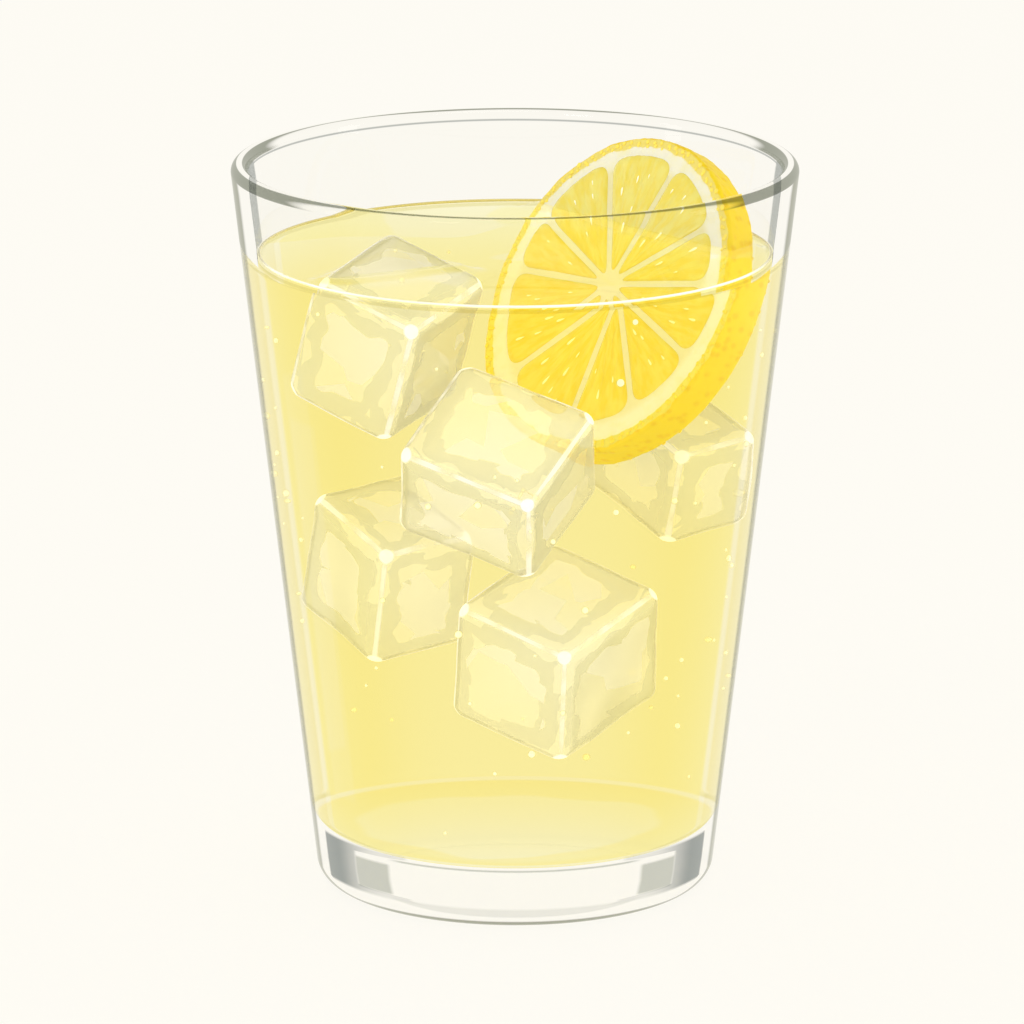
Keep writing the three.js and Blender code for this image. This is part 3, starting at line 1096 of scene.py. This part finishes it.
def makeDrinkMaterial(finish):
    material, tree, shader = newMaterial("lemonade")
    place = objectPlace(tree)
    x, y, height = splitVector(tree, place)
    facing, radius = edgeOnShare(tree), radialDistance(tree, x, y)
    share = partial(rangeShare, tree, finish["ranges"])
    overlay = partial(layOver, tree, finish)
    atSurface = share(height, "atSurface", drinkLevel)
    least = finish["coatLeast"]
    gloss = times(tree, atSurface,
                  maths(tree, "MULTIPLY_ADD", share(height, "raised", drinkLevel), 1 - least, least))
    # The side of the drink, with a painted reflection of a window on the left, a painted highlight line and
    # painted shade
    wall = overlay(finish["wallTint"], share(facing, "sideways"), "sideTint")
    window = times(tree, share(height, "windowHeight"), share(facing, "windowFacing"), share(x, "windowLeft"))
    wall = overlay(wall, times(tree, window, finish["windowShare"]), "lineTint")
    wall = overlay(wall, share(facing, "lineFacing"), "lineTint")
    wall = overlay(wall, share(facing, "stripFacing"), "stripTint")
    # Painted shade under the surface at the wall and in the floor's corner
    wall = overlay(wall, share(height, "underLine", drinkLevel), "outline")
    floorHeight = glassSizes["floorHeight"]
    corner = times(tree, share(height, "atFloor", floorHeight), share(facing, "floorFacing"))
    wall = overlay(wall, corner, "outline")
    # Its floor, darker in a ring at the edge as painted shade, and its surface with pale patches of painted
    # reflection
    broad = placeGroup(tree, mottle, Place=place, Scale=48.0, Detail=1.0)
    uneven = maths(tree, "MULTIPLY_ADD", broad["Noise"], finish["floorUneven"], -finish["floorUneven"] / 2)
    floor = overlay(finish["floorTint"], share(maths(tree, "ADD", radius, uneven), "floorRing"), "floorEdge")
    rest = mixColours(tree, share(height, "onFloor", floorHeight), white, floor)
    wallRadius = maths(tree, "MULTIPLY_ADD", height, taper, innerRadius(0.0))
    clear = mixColours(tree, share(maths(tree, "SUBTRACT", radius, wallRadius), "atWall"), rest, wall)
    patches = placeGroup(tree, mottle, Place=place, Scale=42.0, Detail=1.0, Low=0.50, High=0.53,
                         First=finish["surfaceTint"], Second=finish["palerTint"])
    linkInto(tree, shader, Base_Color=mixColours(tree, atSurface, clear, patches["Colour"]), Roughness=0.0,
             IOR=finish["ior"], Transmission_Weight=1.0, Coat_Weight=gloss, Coat_IOR=finish["coatIor"],
             Coat_Roughness=0.01)
    absorb = addNode(tree, "ShaderNodeVolumeAbsorption", Color=finish["absorb"], Density=finish["density"])
    linkInto(tree, tree.nodes["Material Output"], Volume=absorb)
    lightThrough(tree, shader, finish["shadowTint"], solid=False)
    return material


# The drink climbs a little at the wall, the lemon and the ice
def surfaceHeights(points, sizes):
    radii = np.hypot(points[:, 0], points[:, 1])
    rise = sizes["wallRise"] * np.exp((radii - innerRadius(drinkLevel)) / sizes["wallReach"])
    level = np.column_stack([points[:, :2], np.full(len(points), drinkLevel)])
    local = placed(level, lemonFrame.inverted())
    aside = np.abs(local[:, 2]) - lemonSizes["thickness"] / 2
    beyond = np.hypot(local[:, 0], local[:, 1]) - lemonSizes["radius"]
    gap = np.hypot(np.maximum(aside, 0), np.maximum(beyond, 0))
    rise += sizes["lemonRise"] * np.exp(-gap / sizes["pieceReach"])
    cube = iceCubes["iceCubeSurface"]
    local = placed(level, cubeFrame(cube).inverted())
    core = np.array(cube[1]) * 0.0005 - iceShape["rounding"]
    gap = np.linalg.norm(np.maximum(np.abs(local) - core, 0), axis=1) - iceShape["rounding"]
    rise += sizes["iceRise"] * np.exp(-np.maximum(gap, 0) / sizes["pieceReach"])
    return drinkLevel + rise


def makeDrink(sizes, material):
    floor = glassSizes["floorHeight"] - sizes["intoWall"]
    corner = glassSizes["floorCorner"]
    centre = innerRadius(floor + corner) + sizes["intoWall"] - corner
    cornerArc = arcPoints(centre, floor + corner, corner, -90, -wallLean, 14)
    edge = (innerRadius(drinkLevel + sizes["wallRise"]) + sizes["intoWall"], drinkLevel + sizes["wallRise"])
    profile = [(0, floor)] + [(cornerArc[0][0] * i / 8, floor) for i in range(1, 8)]
    profile += cornerArc + linePoints(cornerArc[-1], edge, 60) + [edge]
    wallRings = len(profile)
    # Rings of the surface, close together near the wall
    depths = np.cumsum(np.concatenate([np.full(16, 0.0002), np.full(90, 0.00045)]))
    profile += [(edge[0] - d, drinkLevel) for d in depths[depths < edge[0] - 0.0006]] + [(0, drinkLevel)]
    vertices, faces = turnProfile(profile, sizes["around"])
    first = (wallRings - 1) * sizes["around"]
    top = np.concatenate([np.arange(first, len(vertices) - 2), [len(vertices) - 1]])
    vertices[top, 2] = surfaceHeights(vertices[top], sizes)
    drink = makePiece("lemonadeDrink", vertices, faces, material)
    # Room for the ice, which reaches a hair into the drink so that no gap shows
    for spec in iceCubes.values():
        room = makePiece("room", *cubeMesh(spec, iceShape, shrink=iceShape["room"]), material)
        cut = drink.modifiers.new("room", "BOOLEAN")
        cut.operation, cut.solver, cut.object = "DIFFERENCE", "EXACT", room
        carved = bpy.data.meshes.new_from_object(drink.evaluated_get(bpy.context.evaluated_depsgraph_get()))
        drink.modifiers.clear()
        drink.data = carved
        bpy.data.objects.remove(room)
    drink.data.shade_smooth()
    return drink


finishPiece(makeDrink(drinkSizes, makeDrinkMaterial(drinkFinish)), ["lemonade"])


# A ring of painted highlight where the drink climbs the wall: pale and glowing at the front, with painted
# shade at the back
waterline = dict(
    inset=0.00033,
    size=0.00023,
    around=240,
    facets=10,
    behind=(-0.016, -0.004),
    # painted shade along the back of the line
    backColour=screenColour(240, 226, 144),
    glow=screenColour(150, 148, 138),
)


def makeWaterline(sizes):
    material, tree, shader = newMaterial("waterline")
    place = objectPlace(tree)
    breaks = placeGroup(tree, mottle, Place=place, Scale=60.0, Detail=1.0, Low=0.35, High=0.6,
                        First=screenColour(255, 251, 226), Second=screenColour(255, 254, 248))
    behind = smoothBetween(tree, splitVector(tree, place)[1], *sizes["behind"])
    linkInto(tree, shader, Roughness=0.1, Coat_Weight=1.0, Emission_Strength=1.0,
             Base_Color=mixColours(tree, behind, breaks["Colour"], sizes["backColour"]),
             Emission_Color=mixColours(tree, behind, sizes["glow"], black))
    height = drinkLevel + drinkSizes["wallRise"]
    radius = innerRadius(height) - sizes["inset"]
    section = arcPoints(radius, height, sizes["size"], 0, 360, sizes["facets"])[:-1]
    vertices = np.concatenate([ringPoints(r, z, sizes["around"]) for r, z in section])
    return makePiece("waterline", vertices, ringFaces(len(section), sizes["around"], closed=True), material)


finishPiece(makeWaterline(waterline), ["lemonade"])


# Bubbles that cling just inside the wall and hang in the drink
bubbleSizes = dict(
    inset=0.0009,
    aboveFloor=0.004,
    belowLevel=0.003,
    around=48,
    rings=12,
    density=5600.0,
    smallest=0.00026,
    largest=0.00066,
    fewLarge=2.2,
    seed=21,
)
bubbleFinish = dict(
    middle=screenColour(255, 254, 240),
    # painted shade at each bubble's edge
    rim=screenColour(226, 212, 132),
    rimFrom=(0.45, 0.62),
    shadowTint=(0.98, 0.98, 0.9, 1.0),
)


def makeBubbleTree(sizes):
    tree, given, result = newTree(
        "drinkBubbles", Density="Float", Smallest="Float", Largest="Float", Seed="Int", Finish="Material")
    points = addNode(tree, "GeometryNodeDistributePointsOnFaces", Mesh=given["Geometry"],
                     Density=given["Density"], Seed=given["Seed"])
    draw = addNode(tree, "FunctionNodeRandomValue", Seed=given["Seed"])
    share = maths(tree, "POWER", draw.outputs[1], sizes["fewLarge"])
    span = maths(tree, "SUBTRACT", given["Largest"], given["Smallest"])
    ball = addNode(tree, "GeometryNodeMeshUVSphere", Segments=10, Rings=7, Radius=1.0)
    spread = addNode(tree, "GeometryNodeInstanceOnPoints", Points=points, Instance=ball,
                     Scale=maths(tree, "MULTIPLY_ADD", share, span, given["Smallest"]))
    return endTree(tree, given, result, spread)


def makeBubbles(sizes, finish):
    material, tree, shader = newMaterial("bubbles")
    # Painted shade: a darker rim where a bubble is seen edge on; the glow is painted light
    rim = smoothBetween(tree, edgeOnShare(tree), *finish["rimFrom"])
    colour = mixColours(tree, rim, finish["middle"], finish["rim"])
    linkInto(tree, shader, Base_Color=colour, Roughness=0.05, IOR=1.2, Transmission_Weight=0.1,
             Coat_Weight=1.0, Emission_Color=colour, Emission_Strength=0.25)
    lightThrough(tree, shader, finish["shadowTint"])
    lowest, highest = glassSizes["floorHeight"] + sizes["aboveFloor"], drinkLevel - sizes["belowLevel"]
    inset, around, rings = sizes["inset"], sizes["around"], sizes["rings"]
    levels = np.linspace(lowest, highest, rings)
    vertices = np.concatenate([ringPoints(innerRadius(z) - inset, z, around) for z in levels])
    bubbles = makePiece("drinkBubbles", vertices, ringFaces(rings, around), material)
    runTree(bubbles, makeBubbleTree(sizes), Density=sizes["density"], Smallest=sizes["smallest"],
            Largest=sizes["largest"], Seed=sizes["seed"], Finish=material)
    return bubbles


finishPiece(makeBubbles(bubbleSizes, bubbleFinish), [])


# Stage and light

stageLook = dict(
    floor=(0.08, 0.079, 0.075, 1.0),
    glow=(0.925, 0.905, 0.850, 1.0),        # a lit floor, evenly pale
    floorSize=6.0,
    floorHeight=-0.0001,
    backdrop=screenColour(254, 252, 245),
    overhead=screenColour(214, 212, 200),
    overheadFrom=(0.2, 0.75),
)
# Each light's place, aim, width, height and power
lamps = dict(
    keyLight=((-0.45, -0.75, 0.75), (0, 0, 0.06), 0.22, 0.22, 0.7),
    topLight=((0.1, -0.1, 0.9), (0, 0, 0.06), 0.3, 0.3, 0.5),
    sideLight=((-0.75, -0.2, 0.2), (0, 0, 0.08), 0.12, 0.6, 0.4),
    windowLight=((0.7, -0.12, 0.16), (0, 0, 0.1), 0.14, 0.6, 0.6),
)
lightPaths = dict(max_bounces=24, transmission_bounces=22, glossy_bounces=4, diffuse_bounces=2,
                  transparent_max_bounces=32)


def makeStage(look):
    material, tree, shader = newMaterial("paleFloor")
    linkInto(tree, shader, Base_Color=look["floor"], Roughness=0.9, Specular_IOR_Level=0.0,
             Emission_Color=look["glow"], Emission_Strength=1.0)
    size = look["floorSize"]
    corners = [(x * size, y * size, look["floorHeight"]) for x, y in ((-1, -1), (1, -1), (1, 1), (-1, 1))]
    floor = makePiece("paleFloor", corners, [(0, 1, 2, 3)], material)
    world = bpy.data.worlds.new("studio")
    world.use_nodes = True
    bpy.context.scene.world = world
    tree = world.node_tree
    upwards = splitVector(tree, addNode(tree, "ShaderNodeTexCoord").outputs["Generated"])[2]
    high = smoothBetween(tree, upwards, *look["overheadFrom"])
    linkInto(tree, tree.nodes["Background"], Color=mixColours(tree, high, look["backdrop"], look["overhead"]))


def addLamp(name, place, aim, width, height, power):
    data = bpy.data.lights.new(name, "AREA")
    data.shape, data.size, data.size_y, data.energy = "RECTANGLE", width, height, power
    lamp = addObject(name, data)
    lookAt(lamp, place, aim)
    lamp.visible_camera = False


makeStage(stageLook)
for name, settings in lamps.items():
    addLamp(name, *settings)
scene = bpy.context.scene
scene.view_settings.view_transform = "Standard"
for name, count in lightPaths.items():
    setattr(scene.cycles, name, count)
print("stage and lights done")
